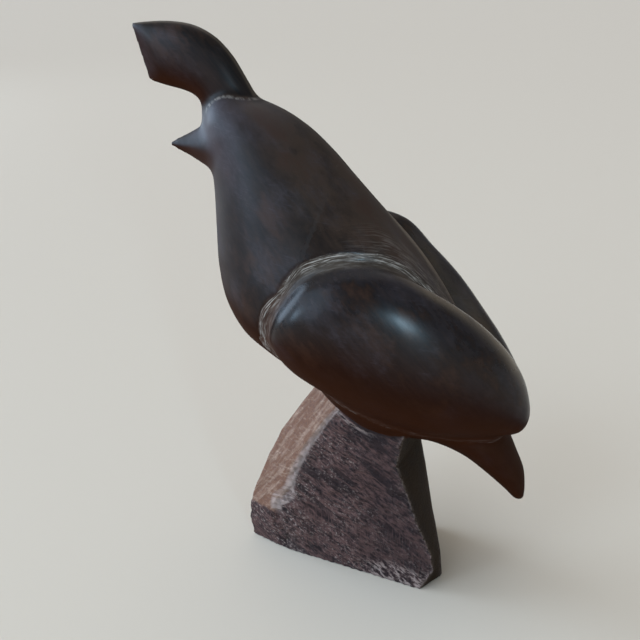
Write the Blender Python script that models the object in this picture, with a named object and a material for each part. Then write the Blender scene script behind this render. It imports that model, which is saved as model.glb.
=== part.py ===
"""A quail carved from one block of dark wood, left standing on the rough end of the same block.

Metres, +Z up. The bird faces -X and its mid-plane is the XZ plane. The origin is on the ground,
below the belly, at the middle of the base's flat underside.
"""

import math

import bmesh
import bpy
import numpy as np

# Driving dimensions
BIRD_LENGTH = 0.1685
BIRD_LEAN = math.radians(57.0)
BASE_HEIGHT = 0.062
BASE_LENGTH = 0.0555
BASE_DEPTH = 0.0365
BASE_TURN = math.radians(-18.0)
SEAT_SINK = 0.008
GROOVE_WIDTH = 0.0048
GROOVE_SHARE_BELOW = 0.2
GROOVE_DEPTH = 0.0015
WING_SLOPE = math.radians(20.0)
FAR_WING_LIFT = math.radians(1.5)
FAR_WING_SHOULDER = 0.026
SHOULDER_FULL = 0.06
SHOULDER_END = 0.06
NEAR_WING_REAR = 0.022
REAR_START = 0.02
REAR_FULL = 0.20
REAR_CLOSE = 0.06

# How finely the forms are divided
BODY_RINGS = 46
BODY_SIDES = 40
WING_RINGS = 26
WING_SIDES = 28
PLUME_RINGS = 18
PLUME_SIDES = 24
SLIVER = 1e-5
CREASE = math.radians(32.0)

# Head, chest, belly and tail along the leaning axis, as shares of the bird's length, measured
# from the seat: place on the axis, front line, back line, half width, and how square the section is
BODY_STATIONS = [
    (-0.639, 0.146, 0.146, 0.000, 2.0),
    (-0.630, 0.120, 0.166, 0.030, 2.0),
    (-0.609, 0.098, 0.183, 0.053, 2.0),
    (-0.586, 0.085, 0.203, 0.068, 2.0),
    (-0.550, 0.068, 0.227, 0.082, 2.0),
    (-0.508, 0.045, 0.246, 0.095, 2.0),
    (-0.443, 0.005, 0.262, 0.113, 2.1),
    (-0.384, -0.030, 0.270, 0.128, 2.2),
    (-0.325, -0.051, 0.277, 0.144, 2.5),
    (-0.265, -0.050, 0.284, 0.160, 2.9),
    (-0.206, -0.029, 0.291, 0.168, 3.1),
    (-0.123, 0.004, 0.296, 0.166, 3.0),
    (-0.046, 0.010, 0.294, 0.152, 2.7),
    (0.037, 0.044, 0.285, 0.132, 2.5),
    (0.110, 0.118, 0.275, 0.103, 2.3),
    (0.180, 0.158, 0.262, 0.081, 2.1),
    (0.239, 0.176, 0.252, 0.062, 2.1),
    (0.299, 0.190, 0.240, 0.044, 2.0),
    (0.330, 0.196, 0.226, 0.028, 2.0),
    (0.346, 0.206, 0.210, 0.002, 2.0),
]

# One folded wing along its own sloping axis, as shares of the bird's length, measured from the
# seat: place on the axis, lower line, upper line, half thickness, distance from the mid-plane
WING_STATIONS = [
    (-0.193, 0.192, 0.192, 0.000, 0.130),
    (-0.187, 0.158, 0.228, 0.025, 0.130),
    (-0.168, 0.132, 0.276, 0.043, 0.132),
    (-0.134, 0.112, 0.312, 0.053, 0.134),
    (-0.084, 0.098, 0.336, 0.058, 0.135),
    (-0.025, 0.087, 0.346, 0.060, 0.133),
    (0.043, 0.079, 0.337, 0.062, 0.127),
    (0.112, 0.075, 0.309, 0.065, 0.112),
    (0.181, 0.078, 0.270, 0.065, 0.090),
    (0.240, 0.088, 0.233, 0.058, 0.070),
    (0.285, 0.102, 0.198, 0.048, 0.056),
    (0.314, 0.122, 0.169, 0.032, 0.047),
    (0.323, 0.142, 0.148, 0.004, 0.044),
]

# The beak, from its tip back into the head, as shares of the bird's length
BEAK_TIP = (-0.318, 0.523)
BEAK_STATIONS = [
    (0.000, 0.000, 0.000, 0.000, 1.6),
    (0.004, -0.003, 0.003, 0.002, 1.6),
    (0.034, -0.020, 0.020, 0.018, 1.6),
    (0.070, -0.041, 0.038, 0.036, 1.7),
    (0.084, -0.047, 0.043, 0.041, 1.8),
    (0.125, -0.047, 0.043, 0.041, 1.8),
    (0.131, 0.000, 0.000, 0.000, 1.8),
]

# The plume from its cut end down into the head, as shares of the bird's length from the seat:
# a point on its crest, x and z, the point across from it on its underside, and half thickness
PLUME_STATIONS = [
    (-0.374, 0.729, -0.348, 0.634, 0.012),
    (-0.345, 0.732, -0.320, 0.626, 0.019),
    (-0.305, 0.733, -0.291, 0.619, 0.024),
    (-0.262, 0.726, -0.271, 0.611, 0.026),
    (-0.228, 0.708, -0.261, 0.602, 0.027),
    (-0.200, 0.679, -0.257, 0.590, 0.028),
    (-0.178, 0.643, -0.256, 0.574, 0.029),
    (-0.155, 0.600, -0.250, 0.545, 0.030),
    (-0.140, 0.560, -0.228, 0.512, 0.030),
]
PLUME_POWER = 2.2

# The base's six upright edges, in order round it, at ten heights, the last inside the belly. Each
# edge has its place along the near face and back from it, as shares of the base's length and depth
BASE_LEVELS = (0.0, 0.13, 0.23, 0.29, 0.40, 0.55, 0.72, 0.89, 1.0, 1.14)
BASE_EDGES = {
    "front_near": [(-0.321, 0.045), (-0.353, 0.015), (-0.369, 0.0), (-0.378, 0.0), (-0.290, 0.0),
                   (-0.241, 0.0), (-0.148, 0.0), (-0.036, 0.0), (0.056, 0.0), (0.150, 0.200)],
    "rear_near": [(0.590, -0.01), (0.670, 0.0), (0.654, 0.0), (0.623, 0.0), (0.562, 0.0),
                  (0.497, 0.0), (0.418, 0.0), (0.454, 0.0), (0.470, 0.0), (0.350, 0.200)],
    "rear_lip": [(0.677, 0.274), (0.652, 0.318), (0.584, 0.482), (0.541, 0.573), (0.501, 0.636),
                 (0.467, 0.641), (0.431, 0.619), (0.387, 0.619), (0.371, 0.608), (0.300, 0.600)],
    "rear_far": [(0.414, 1.000), (0.406, 0.995), (0.398, 0.989), (0.378, 0.990), (0.342, 0.981),
                 (0.308, 0.959), (0.259, 0.926), (0.227, 0.904), (0.210, 0.893), (0.180, 0.800)],
    "front_far": [(-0.481, 0.690), (-0.481, 0.690), (-0.469, 0.682), (-0.456, 0.674), (-0.425, 0.668),
                  (-0.357, 0.667), (-0.280, 0.674), (-0.203, 0.682), (-0.143, 0.674), (-0.050, 0.640)],
    "front_left": [(-0.582, 0.142), (-0.594, 0.107), (-0.587, 0.110), (-0.569, 0.112), (-0.528, 0.120),
                   (-0.465, 0.148), (-0.384, 0.186), (-0.265, 0.236), (-0.178, 0.266), (-0.060, 0.340)],
}
BASE_NEAR_FACE = -0.325

WOOD_COLOUR = (0.060, 0.035, 0.028, 1.0)
WOOD_ROUGHNESS = 0.34


def smooth_curve(places, values, wanted):
    """Read a smooth curve through stations, each with the mean slope of its two sides."""
    places = np.asarray(places, float)
    values = np.asarray(values, float)
    steps = np.diff(places)
    slopes = np.diff(values) / steps
    tangents = np.empty_like(values)
    tangents[1:-1] = (slopes[:-1] * steps[1:] + slopes[1:] * steps[:-1]) / (steps[:-1] + steps[1:])
    tangents[0] = slopes[0]
    tangents[-1] = slopes[-1]
    span = np.clip(np.searchsorted(places, wanted) - 1, 0, len(steps) - 1)
    t = (wanted - places[span]) / steps[span]
    start = (1 + 2 * t) * (1 - t) ** 2 * values[span] + t * (1 - t) ** 2 * steps[span] * tangents[span]
    end = t ** 2 * (3 - 2 * t) * values[span + 1] + t ** 2 * (t - 1) * steps[span] * tangents[span + 1]
    return start + end


def seat_height():
    """Height of the point inside the belly that the bird's shares are measured from."""
    return BASE_HEIGHT - SEAT_SINK


def new_object(name, mesh, collection):
    """Make an object of a mesh, with its faces pointing out."""
    body = bmesh.new()
    body.from_mesh(mesh)
    bmesh.ops.recalc_face_normals(body, faces=body.faces)
    body.to_mesh(mesh)
    body.free()
    made = bpy.data.objects.new(name, mesh)
    collection.objects.link(made)
    return made


def loft(name, rings, collection):
    """Skin closed rings of points in order; a ring of one point closes an end to a pole."""
    points = []
    starts = []
    for ring in rings:
        starts.append(len(points))
        points.extend(ring)
    faces = []
    for k in range(len(rings) - 1):
        near, far = rings[k], rings[k + 1]
        sides = max(len(near), len(far))
        for i in range(sides):
            j = (i + 1) % sides
            quad = [
                starts[k] + i % len(near),
                starts[k] + j % len(near),
                starts[k + 1] + j % len(far),
                starts[k + 1] + i % len(far),
            ]
            corners = list(dict.fromkeys(quad))
            faces.append(corners)
    for k in (0, len(rings) - 1):
        if len(rings[k]) > 1:
            faces.append([starts[k] + i for i in range(len(rings[k]))])
    mesh = bpy.data.meshes.new(name)
    mesh.from_pydata(points, [], faces)
    return new_object(name, mesh, collection)


def sections(stations, ring_count):
    """Smooth the stations of a swept form into many, spaced evenly over its outline."""
    table = np.array(stations)
    lower = np.linalg.norm(np.diff(table[:, [0, 1]], axis=0), axis=1)
    upper = np.linalg.norm(np.diff(table[:, [0, 2]], axis=0), axis=1)
    travel = np.concatenate([[0.0], np.cumsum(0.5 * (lower + upper))])
    wanted = np.linspace(0.0, travel[-1], ring_count)
    return np.stack([smooth_curve(travel, column, wanted) for column in table.T], axis=1)


def squircle(angle, half_height, half_width, power):
    """A point on a rounded section: an ellipse at power 2, squarer above it."""
    up = math.cos(angle)
    out = math.sin(angle)
    reach = (abs(up) ** power + abs(out) ** power) ** (-1.0 / power)
    return half_height * reach * up, half_width * reach * out


def swept_form(name, origin, slope, profile, sides, collection, fullness=1.0, side=1.0):
    """Sweep rounded sections along a straight axis in the mid-plane, which drops at slope.

    The profile's rows are place, lower line, upper line, half width, distance from the
    mid-plane and power, in metres. Fullness below 1 thins the sections.
    """
    along_x, along_z = math.cos(slope), -math.sin(slope)
    rings = []
    last = len(profile) - 1
    for k, (place, low, high, half_width, offset, power) in enumerate(profile):
        middle = 0.5 * (low + high)
        half_height = max(0.5 * (high - low), 0.0) * fullness
        half_width = max(half_width, 0.0) * fullness
        count = 1 if k in (0, last) else sides
        ring = []
        for i in range(count):
            if count == 1:
                across, out = 0.0, 0.0
            else:
                across, out = squircle(2.0 * math.pi * i / sides, half_height, half_width, power)
            across += middle
            x = origin[0] + place * along_x - across * along_z
            z = origin[1] + place * along_z + across * along_x
            ring.append((x, side * (offset + out), z))
        rings.append(ring)
    return loft(name, rings, collection)


def body_profile(ring_count):
    """The body's smoothed stations in metres, centred on the mid-plane."""
    rows = sections(BODY_STATIONS, ring_count)
    profile = []
    for place, front, back, half_width, power in rows:
        sizes = [share * BIRD_LENGTH for share in (place, front, back, half_width)]
        profile.append((*sizes, 0.0, power))
    return profile


def ease(share):
    """0 below 0, 1 above 1, and a smooth rise between them."""
    held = min(max(share, 0.0), 1.0)
    return held * held * (3.0 - 2.0 * held)


def wing_profile(shoulder, rear):
    """The wing's smoothed stations in metres, with its upper line raised at the shoulder and the rear."""
    end = WING_STATIONS[-1][0]
    stations = []
    for place, low, high, half_thickness, offset in WING_STATIONS:
        high += shoulder * ease((SHOULDER_END - place) / (SHOULDER_END + SHOULDER_FULL))
        high += rear * ease((place - REAR_START) / (REAR_FULL - REAR_START)) * ease((end - place) / REAR_CLOSE)
        stations.append((place, low, high, half_thickness, offset))
    rows = sections(stations, WING_RINGS)
    return [(*(share * BIRD_LENGTH for share in row), 2.0) for row in rows]


def make_wing(side, collection):
    """One wing. Both have the same tip, but the far one's shoulder and the near one's rear stand higher."""
    far = side > 0.0
    profile = wing_profile(FAR_WING_SHOULDER, 0.0) if far else wing_profile(0.0, NEAR_WING_REAR)
    tip_place, tip_low, tip_high = profile[-1][:3]
    tip_level = 0.5 * (tip_low + tip_high)
    slope = WING_SLOPE + (FAR_WING_LIFT if far else 0.0)
    tip_x = tip_place * math.cos(WING_SLOPE) + tip_level * math.sin(WING_SLOPE)
    tip_z = seat_height() - tip_place * math.sin(WING_SLOPE) + tip_level * math.cos(WING_SLOPE)
    origin = (
        tip_x - tip_place * math.cos(slope) - tip_level * math.sin(slope),
        tip_z + tip_place * math.sin(slope) - tip_level * math.cos(slope),
    )
    return swept_form("wing", origin, slope, profile, WING_SIDES, collection, side=side)


def make_groove_cutter(side, collection):
    """A wing swollen by the groove's width, and moved so that the groove is widest in front and above."""
    cutter = make_wing(side, collection)
    swell = 0.5 * (1.0 + GROOVE_SHARE_BELOW) * GROOVE_WIDTH
    shift = GROOVE_WIDTH - swell
    normals = [vertex.normal.copy() for vertex in cutter.data.vertices]
    for vertex, normal in zip(cutter.data.vertices, normals):
        vertex.co += normal * swell
        vertex.co.x -= shift * math.sin(BIRD_LEAN - WING_SLOPE)
        vertex.co.z += shift * math.cos(BIRD_LEAN - WING_SLOPE)
    return cutter


def beak_profile():
    """The beak's stations in metres."""
    profile = []
    for place, low, high, half_width, power in BEAK_STATIONS:
        sizes = [share * BIRD_LENGTH for share in (place, low, high, half_width)]
        profile.append((*sizes, 0.0, power))
    return profile


def make_plume(collection):
    """Skin the plume's lens-shaped sections, from the flat cut end down into the head."""
    stations = np.array(PLUME_STATIONS) * BIRD_LENGTH
    steps = np.linalg.norm(np.diff(stations[:, 0:2], axis=0), axis=1)
    travel = np.concatenate([[0.0], np.cumsum(steps)])
    wanted = np.linspace(0.0, travel[-1], PLUME_RINGS)
    rows = np.stack([smooth_curve(travel, column, wanted) for column in stations.T], axis=1)
    rings = []
    for crest_x, crest_z, under_x, under_z, half_thickness in rows:
        ring = []
        for i in range(PLUME_SIDES):
            across, out = squircle(2.0 * math.pi * i / PLUME_SIDES, 0.5, half_thickness, PLUME_POWER)
            x = crest_x * (0.5 + across) + under_x * (0.5 - across)
            z = crest_z * (0.5 + across) + under_z * (0.5 - across)
            ring.append((x, out, seat_height() + z))
        rings.append(ring)
    return loft("plume", rings, collection)


def base_rings():
    """The base's outline at each height, turned to face as the block does."""
    turn_x, turn_y = math.cos(BASE_TURN), math.sin(BASE_TURN)
    rings = []
    for k, level in enumerate(BASE_LEVELS):
        ring = []
        for edge in BASE_EDGES.values():
            along = edge[k][0] * BASE_LENGTH
            back = (edge[k][1] + BASE_NEAR_FACE) * BASE_DEPTH
            x = along * turn_x - back * turn_y
            y = along * turn_y + back * turn_x
            ring.append((x, y, level * BASE_HEIGHT))
        rings.append(ring)
    return rings


def combine(target, other, operation):
    """Join another form to the target, or cut it away, and drop the other."""
    step = target.modifiers.new(operation.lower(), "BOOLEAN")
    step.operation = operation
    step.solver = "EXACT"
    step.object = other
    bpy.context.view_layer.update()
    solid = target.evaluated_get(bpy.context.evaluated_depsgraph_get())
    mesh = bpy.data.meshes.new_from_object(solid)
    target.modifiers.remove(step)
    target.data = mesh
    bpy.data.objects.remove(other)
    clean(target)


def clean(carving):
    """Merge the slivers that joining leaves, and drop points that only lie along an edge."""
    body = bmesh.new()
    body.from_mesh(carving.data)
    bmesh.ops.dissolve_degenerate(body, edges=body.edges, dist=SLIVER)
    between = [vertex for vertex in body.verts if len(vertex.link_edges) == 2]
    bmesh.ops.dissolve_verts(body, verts=between)
    bmesh.ops.triangulate(body, faces=body.faces)
    loose = [edge for edge in body.edges if not edge.link_faces]
    bmesh.ops.delete(body, geom=loose, context="EDGES")
    body.to_mesh(carving.data)
    body.free()


def wood():
    """Near-black brown wood, rubbed to a satin gloss."""
    material = bpy.data.materials.new("dark_wood")
    material.use_nodes = True
    shader = material.node_tree.nodes["Principled BSDF"]
    shader.inputs["Base Color"].default_value = WOOD_COLOUR
    shader.inputs["Roughness"].default_value = WOOD_ROUGHNESS
    shader.inputs["Metallic"].default_value = 0.0
    return material


def main():
    for leftover in list(bpy.data.objects):
        bpy.data.objects.remove(leftover)
    collection = bpy.data.collections.new("wooden_quail_carving")
    bpy.context.scene.collection.children.link(collection)
    seat = (0.0, seat_height())

    carving = swept_form("quail_carving", seat, BIRD_LEAN, body_profile(BODY_RINGS), BODY_SIDES, collection)
    for side in (-1.0, 1.0):
        combine(carving, make_groove_cutter(side, collection), "DIFFERENCE")

    thickest = max(row[3] for row in body_profile(BODY_RINGS))
    core = swept_form("core", seat, BIRD_LEAN, body_profile(BODY_RINGS)[1:-1], BODY_SIDES, collection,
                      fullness=1.0 - GROOVE_DEPTH / thickest)
    combine(carving, core, "UNION")
    for side in (-1.0, 1.0):
        combine(carving, make_wing(side, collection), "UNION")

    tip = (BEAK_TIP[0] * BIRD_LENGTH, seat[1] + BEAK_TIP[1] * BIRD_LENGTH)
    beak = swept_form("beak", tip, 0.0, beak_profile(), 16, collection)
    combine(carving, beak, "UNION")
    combine(carving, make_plume(collection), "UNION")
    combine(carving, loft("base", base_rings(), collection), "UNION")

    carving.data.shade_smooth()
    carving.data.set_sharp_from_angle(angle=CREASE)
    carving.data.materials.clear()
    carving.data.materials.append(wood())


main()
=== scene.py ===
"""A quail carved from one block of dark wood, polished, on the rough end of its block.

Metres, +Z up. The bird faces -X and its mid-plane is the XZ plane. The carving is one piece. Its
skin is worked out from the same named sizes and stations as its solid, then worked over with
tool marks, and stands in for the solid.
"""

import math

import bmesh
import bpy
import numpy as np
from bpy.props import FloatProperty, FloatVectorProperty, IntProperty, PointerProperty
from bpy.types import Operator, Panel, PropertyGroup
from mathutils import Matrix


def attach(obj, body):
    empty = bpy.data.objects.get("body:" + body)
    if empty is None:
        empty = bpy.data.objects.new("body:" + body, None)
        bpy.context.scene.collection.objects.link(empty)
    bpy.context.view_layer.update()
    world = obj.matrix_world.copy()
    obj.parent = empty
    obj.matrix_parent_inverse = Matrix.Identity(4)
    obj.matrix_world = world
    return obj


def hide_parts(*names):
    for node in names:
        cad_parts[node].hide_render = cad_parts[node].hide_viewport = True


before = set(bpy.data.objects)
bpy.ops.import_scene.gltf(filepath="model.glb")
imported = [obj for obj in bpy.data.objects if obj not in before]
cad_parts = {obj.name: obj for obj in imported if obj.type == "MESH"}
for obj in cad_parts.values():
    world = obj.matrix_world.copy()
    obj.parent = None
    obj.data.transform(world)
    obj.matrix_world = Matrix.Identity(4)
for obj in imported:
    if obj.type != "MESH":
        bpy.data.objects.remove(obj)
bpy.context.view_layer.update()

bl_info = {
    "name": "Carved wooden quail",
    "version": (1, 0, 0),
    "blender": (4, 5, 0),
    "location": "3D View > Sidebar > Quail",
    "description": "A quail carved from one block of dark wood, on the rough end of the block",
    "category": "Object",
}

BIRD_LENGTH = 0.1685
BIRD_LEAN = math.radians(57.0)
BASE_HEIGHT = 0.062
BASE_LENGTH = 0.0555
BASE_DEPTH = 0.0365
BASE_TURN = math.radians(-18.0)
SEAT_HEIGHT = 0.054
WING_SLOPE = math.radians(20.0)
FAR_WING_LIFT = math.radians(1.5)
FAR_WING_SHOULDER = 0.026
SHOULDER_REACH = 0.06
NEAR_WING_REAR = 0.022
REAR_START = 0.02
REAR_FULL = 0.20
REAR_CLOSE = 0.06
GROOVE_SHARE_BELOW = 0.2

# Head, chest, belly and tail along the leaning axis, as shares of the bird's length, measured
# from the seat: place on the axis, front line, back line, half width, and how square the section is
BODY_STATIONS = [
    (-0.639, 0.146, 0.146, 0.000, 2.0),
    (-0.630, 0.120, 0.166, 0.030, 2.0),
    (-0.609, 0.098, 0.183, 0.053, 2.0),
    (-0.586, 0.085, 0.203, 0.068, 2.0),
    (-0.550, 0.068, 0.227, 0.082, 2.0),
    (-0.508, 0.045, 0.246, 0.095, 2.0),
    (-0.443, 0.005, 0.262, 0.113, 2.1),
    (-0.384, -0.030, 0.270, 0.128, 2.2),
    (-0.325, -0.051, 0.277, 0.144, 2.5),
    (-0.265, -0.050, 0.284, 0.160, 2.9),
    (-0.206, -0.029, 0.291, 0.168, 3.1),
    (-0.123, 0.004, 0.296, 0.166, 3.0),
    (-0.046, 0.010, 0.294, 0.152, 2.7),
    (0.037, 0.044, 0.285, 0.132, 2.5),
    (0.110, 0.118, 0.275, 0.103, 2.3),
    (0.180, 0.158, 0.262, 0.081, 2.1),
    (0.239, 0.176, 0.252, 0.062, 2.1),
    (0.299, 0.190, 0.240, 0.044, 2.0),
    (0.330, 0.196, 0.226, 0.028, 2.0),
    (0.346, 0.206, 0.210, 0.002, 2.0),
]

# One folded wing along its own sloping axis, as shares of the bird's length, measured from the
# seat: place on the axis, lower line, upper line, half thickness, distance from the mid-plane
WING_STATIONS = [
    (-0.193, 0.192, 0.192, 0.000, 0.130),
    (-0.187, 0.158, 0.228, 0.025, 0.130),
    (-0.168, 0.132, 0.276, 0.043, 0.132),
    (-0.134, 0.112, 0.312, 0.053, 0.134),
    (-0.084, 0.098, 0.336, 0.058, 0.135),
    (-0.025, 0.087, 0.346, 0.060, 0.133),
    (0.043, 0.079, 0.337, 0.062, 0.127),
    (0.112, 0.075, 0.309, 0.065, 0.112),
    (0.181, 0.078, 0.270, 0.065, 0.090),
    (0.240, 0.088, 0.233, 0.058, 0.070),
    (0.285, 0.102, 0.198, 0.048, 0.056),
    (0.314, 0.122, 0.169, 0.032, 0.047),
    (0.323, 0.142, 0.148, 0.004, 0.044),
]

# The beak, from its tip back into the head, as shares of the bird's length
BEAK_TIP = (-0.318, 0.523)
BEAK_STATIONS = [
    (-0.003, 0.000, 0.000, 0.000, 1.5),
    (0.001, -0.003, 0.003, 0.002, 1.5),
    (0.034, -0.020, 0.020, 0.018, 1.5),
    (0.070, -0.041, 0.038, 0.036, 1.6),
    (0.084, -0.047, 0.043, 0.041, 1.6),
    (0.110, -0.044, 0.040, 0.038, 1.8),
    (0.150, -0.026, 0.022, 0.022, 1.8),
    (0.172, 0.000, 0.000, 0.000, 1.8),
]

# The plume from its cut end down into the head, as shares of the bird's length from the seat:
# a point on its crest, x and z, the point across from it on its underside, and half thickness
PLUME_STATIONS = [
    (-0.374, 0.729, -0.348, 0.634, 0.012),
    (-0.345, 0.732, -0.320, 0.626, 0.019),
    (-0.305, 0.733, -0.291, 0.619, 0.024),
    (-0.262, 0.726, -0.271, 0.611, 0.026),
    (-0.228, 0.708, -0.261, 0.602, 0.027),
    (-0.200, 0.679, -0.257, 0.590, 0.028),
    (-0.178, 0.643, -0.256, 0.574, 0.029),
    (-0.155, 0.600, -0.250, 0.545, 0.030),
    (-0.140, 0.560, -0.228, 0.512, 0.030),
]
PLUME_POWER = 2.2

# The base's six upright edges, in order round it, at ten heights, the last inside the belly. Each
# edge has its place along the near face and back from it, as shares of the base's length and depth
BASE_LEVELS = (0.0, 0.13, 0.23, 0.29, 0.40, 0.55, 0.72, 0.89, 1.0, 1.14)
BASE_EDGES = {
    "front_near": [(-0.321, 0.045), (-0.353, 0.015), (-0.369, 0.0), (-0.378, 0.0), (-0.290, 0.0),
                   (-0.241, 0.0), (-0.148, 0.0), (-0.036, 0.0), (0.056, 0.0), (0.150, 0.200)],
    "rear_near": [(0.590, -0.01), (0.670, 0.0), (0.654, 0.0), (0.623, 0.0), (0.562, 0.0),
                  (0.497, 0.0), (0.418, 0.0), (0.454, 0.0), (0.470, 0.0), (0.350, 0.200)],
    "rear_lip": [(0.677, 0.274), (0.652, 0.318), (0.584, 0.482), (0.541, 0.573), (0.501, 0.636),
                 (0.467, 0.641), (0.431, 0.619), (0.387, 0.619), (0.371, 0.608), (0.300, 0.600)],
    "rear_far": [(0.414, 1.000), (0.406, 0.995), (0.398, 0.989), (0.378, 0.990), (0.342, 0.981),
                 (0.308, 0.959), (0.259, 0.926), (0.227, 0.904), (0.210, 0.893), (0.180, 0.800)],
    "front_far": [(-0.481, 0.690), (-0.481, 0.690), (-0.469, 0.682), (-0.456, 0.674), (-0.425, 0.668),
                  (-0.357, 0.667), (-0.280, 0.674), (-0.203, 0.682), (-0.143, 0.674), (-0.050, 0.640)],
    "front_left": [(-0.582, 0.142), (-0.594, 0.107), (-0.587, 0.110), (-0.569, 0.112), (-0.528, 0.120),
                   (-0.465, 0.148), (-0.384, 0.186), (-0.265, 0.236), (-0.178, 0.266), (-0.060, 0.340)],
}
BASE_NEAR_FACE = -0.325
BASE_TOP = 0.0655

TAIL_CUT = 0.0612
TINY = 1e-9
ENDLESS = 100.0

# The box that the skin is looked for in, and the middle of a wing as shares of the bird's length
GRID_LOW = np.array([-0.068, -0.036, -0.003])
GRID_HIGH = np.array([0.068, 0.036, 0.182])
WING_MIDDLE = (0.06, 0.21)


def smooth_curve(places, values, wanted):
    """Read a smooth curve through stations, each with the mean slope of its two sides."""
    places = np.asarray(places, float)
    values = np.asarray(values, float)
    steps = np.diff(places)
    slopes = np.diff(values) / steps
    tangents = np.empty_like(values)
    tangents[1:-1] = (slopes[:-1] * steps[1:] + slopes[1:] * steps[:-1]) / (steps[:-1] + steps[1:])
    tangents[0] = slopes[0]
    tangents[-1] = slopes[-1]
    span = np.clip(np.searchsorted(places, wanted) - 1, 0, len(steps) - 1)
    t = (wanted - places[span]) / steps[span]
    start = (1 + 2 * t) * (1 - t) ** 2 * values[span] + t * (1 - t) ** 2 * steps[span] * tangents[span]
    end = t ** 2 * (3 - 2 * t) * values[span + 1] + t ** 2 * (t - 1) * steps[span] * tangents[span + 1]
    return start + end


def ease(low, high, value):
    """0 below low, 1 above high, and a smooth rise between them."""
    t = np.clip((value - low) / (high - low), 0.0, 1.0)
    return t * t * (3.0 - 2.0 * t)


def join(first, second, blend):
    """The nearer of two skins, blended round where they meet."""
    meet = np.maximum(blend - np.abs(first - second), 0.0) / blend
    return np.minimum(first, second) - meet * meet * blend * 0.25


def trim(first, second, blend):
    """What lies inside both skins, with a rounded edge."""
    return -join(-first, -second, blend)


class SweptForm:
    """Rounded sections along a straight axis in the side view, read as the distance to their skin."""

    SAMPLES = 500
    THIN = 0.0008
    ROUNDING = 0.002
    STEEPEST = (0.03, 0.8, 20.0, 0.8)

    def __init__(self, origin, slope, stations, side=1.0):
        self.origin = origin
        self.side = side
        self.along = (math.cos(slope), -math.sin(slope))
        table = np.array(stations)
        table[:, :5] *= BIRD_LENGTH
        lower = np.linalg.norm(np.diff(table[:, [0, 1]], axis=0), axis=1)
        upper = np.linalg.norm(np.diff(table[:, [0, 2]], axis=0), axis=1)
        travel = np.concatenate([[0.0], np.cumsum(0.5 * (lower + upper))])
        wanted = np.linspace(0.0, travel[-1], self.SAMPLES)
        place, low, high, half_width, offset, power = (
            smooth_curve(travel, column, wanted) for column in table.T)
        place = np.maximum.accumulate(place + np.arange(self.SAMPLES) * TINY)
        half_height = np.maximum(0.5 * (high - low), 0.0)
        thick = (half_height > self.THIN) & (half_width > self.THIN)
        ratio = np.interp(wanted, wanted[thick], (half_width / np.maximum(half_height, TINY))[thick])
        self.places = np.linspace(place[0], place[-1], self.SAMPLES)
        self.curves = [np.interp(self.places, place, values)
                       for values in (half_height ** 2, 0.5 * (low + high), ratio, offset, power)]
        self.slopes = [np.clip(np.gradient(values, self.places), -most, most)
                       for values, most in zip(self.curves, self.STEEPEST)]

    def local(self, x, z):
        """Place along the axis and height across it."""
        dx, dz = x - self.origin[0], z - self.origin[1]
        return dx * self.along[0] + dz * self.along[1], dz * self.along[0] - dx * self.along[1]

    def distance(self, x, y, z):
        """Signed distance, near enough, to the form's skin."""
        place, across = self.local(x, z)
        held = np.clip(place, self.places[0], self.places[-1])
        beyond = place - held
        reach, middle, ratio, offset, power = (np.interp(held, self.places, curve) for curve in self.curves)
        reach_slope, middle_slope, ratio_slope, offset_slope = (
            np.interp(held, self.places, slope) for slope in self.slopes)
        opening = max(self.slopes[0][1], self.ROUNDING)
        closing = min(self.slopes[0][-2], -self.ROUNDING)
        reach = reach + beyond * np.where(beyond < 0, opening, closing)
        reach_slope = np.where(beyond < 0, opening, np.where(beyond > 0, closing, reach_slope))
        up = across - middle
        out = self.side * y - offset
        high = np.abs(up) + TINY
        wide = np.abs(out) / ratio + TINY
        high_part = high ** power
        wide_part = wide ** power
        total = high_part + wide_part
        squared = total ** (2.0 / power)
        share = 2.0 * squared / total
        by_up = share * high_part / high * np.sign(up)
        by_wide = share * wide_part / wide
        by_out = by_wide / ratio
        by_place = (-by_up * middle_slope - by_out * np.sign(out) * offset_slope
                    - by_wide * wide * ratio_slope / ratio - reach_slope)
        steepness = np.sqrt(by_up ** 2 + by_out ** 2 + by_place ** 2 + self.ROUNDING ** 2)
        return (squared - reach) / steepness


def line_distance(x, z, line):
    """Distance to an open line in the side view, positive on its right, and the place along it."""
    nearest = None
    last = len(line) - 2
    for k in range(len(line) - 1):
        start, step = line[k], line[k + 1] - line[k]
        length = float(np.hypot(*step))
        run = ((x - start[0]) * step[0] + (z - start[1]) * step[1]) / length ** 2
        held = np.clip(run, 0.0 if k else -ENDLESS, 1.0 if k < last else ENDLESS)
        far_x, far_z = x - start[0] - held * step[0], z - start[1] - held * step[1]
        gap = far_x ** 2 + far_z ** 2
        right = (x - start[0]) * step[1] - (z - start[1]) * step[0]
        if nearest is None:
            nearest, side, place = gap, right, k + held
        else:
            closer = gap < nearest
            nearest = np.where(closer, gap, nearest)
            side = np.where(closer, right, side)
            place = np.where(closer, k + held, place)
    return np.sqrt(nearest) * np.sign(side), place


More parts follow.
